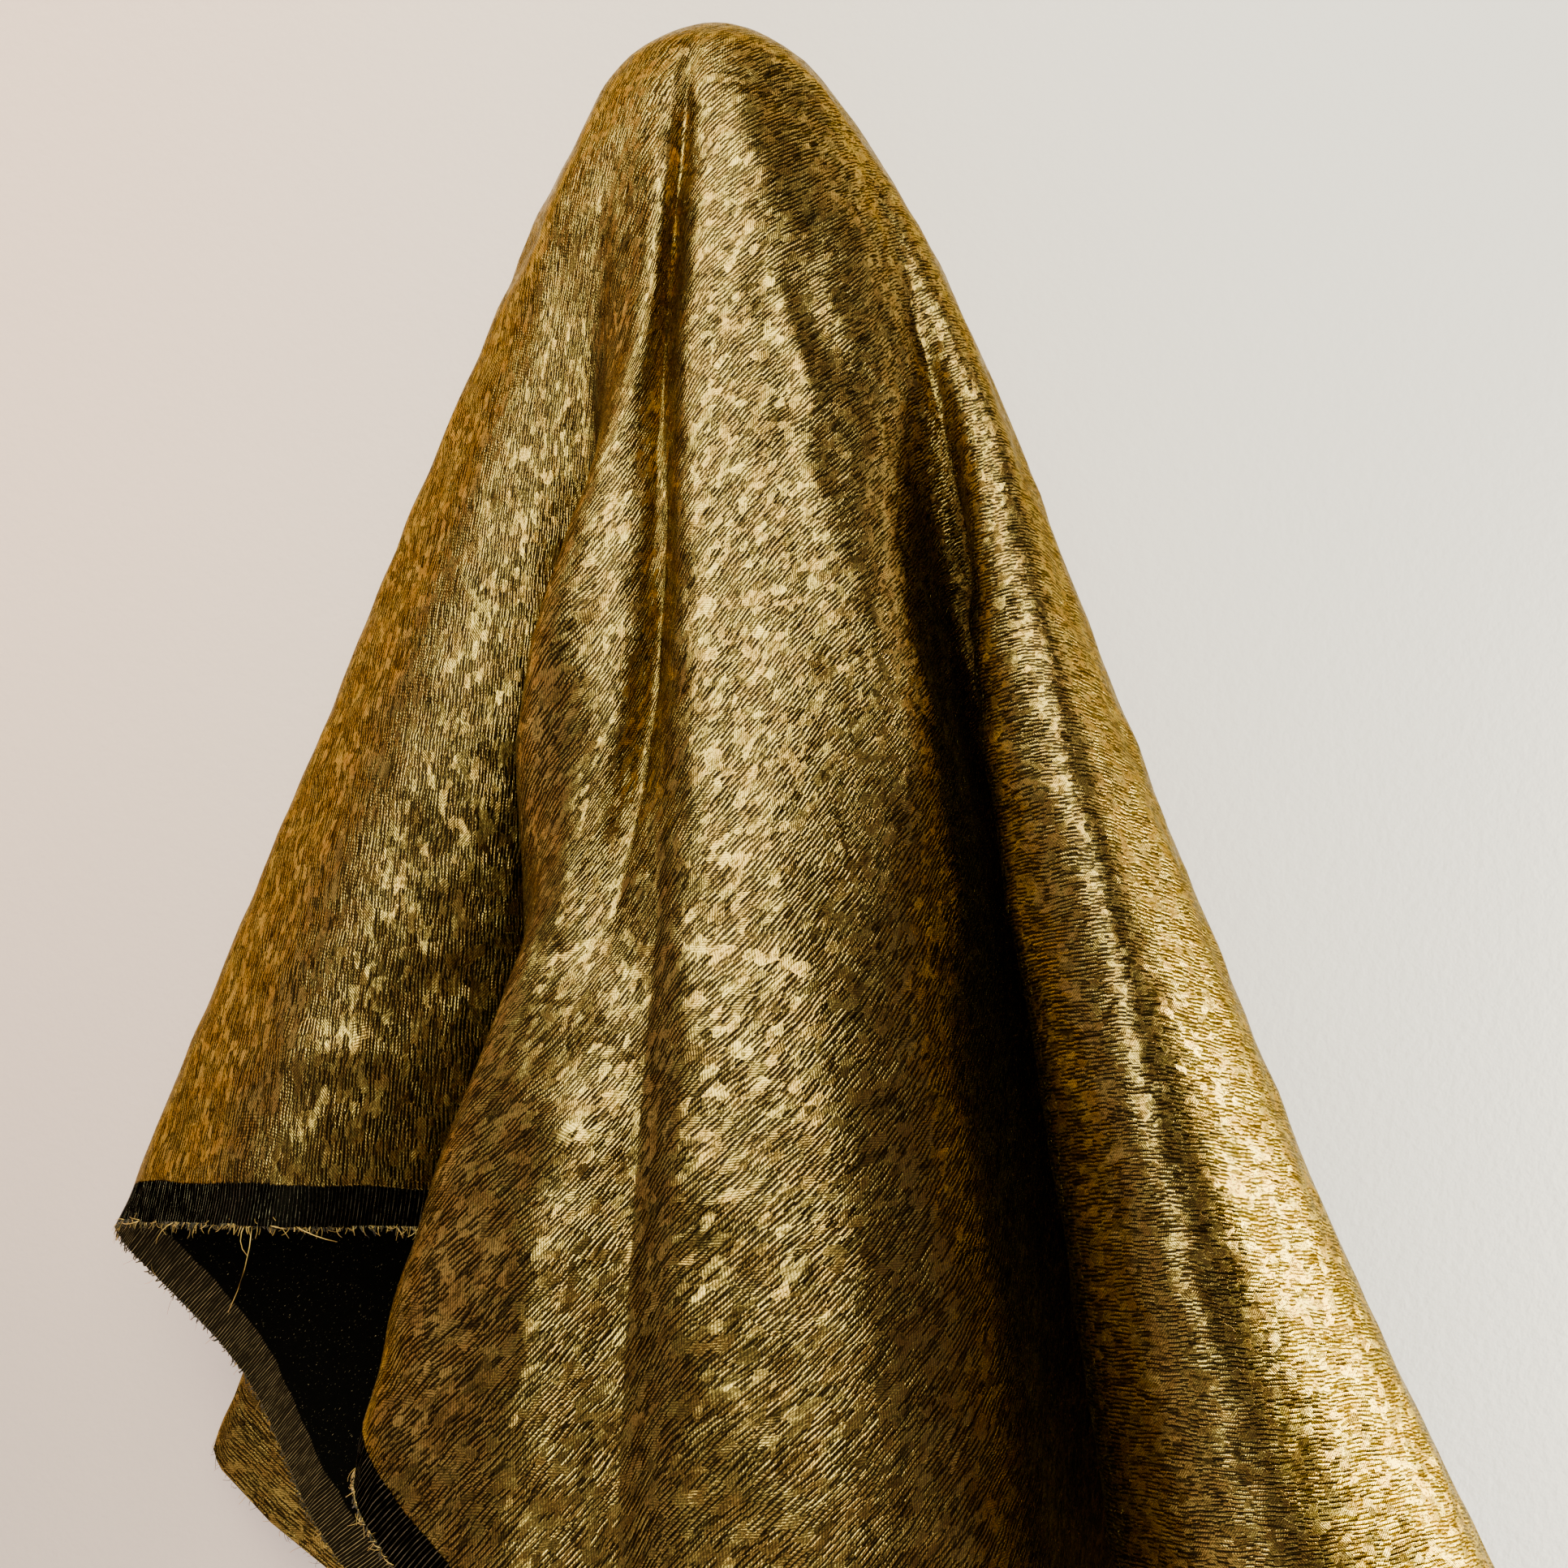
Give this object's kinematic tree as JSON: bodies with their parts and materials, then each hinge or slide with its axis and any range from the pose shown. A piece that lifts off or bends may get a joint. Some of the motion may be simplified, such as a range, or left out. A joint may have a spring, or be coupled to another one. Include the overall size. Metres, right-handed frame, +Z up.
{
  "type": "brocade panel",
  "caption": "Cut length of gold brocade hung from one point and falling in deep folds, with a dark selvage on one side and plain cut edges elsewhere.",
  "frame": {"origin": "the hang point, in the cloth at the middle of the crown", "axes": "+Z up, -Y out into the room, +Y towards the wall behind the cloth, +X to the right as seen from the room"},
  "size_m": [0.5059, 0.243, 0.7998],
  "materials": {
    "brocade": "metallic gold jacquard weave with a near-black reverse"
  },
  "bodies": {
    "root": {"brocade_panel": "brocade"}
  },
  "joints": []
}
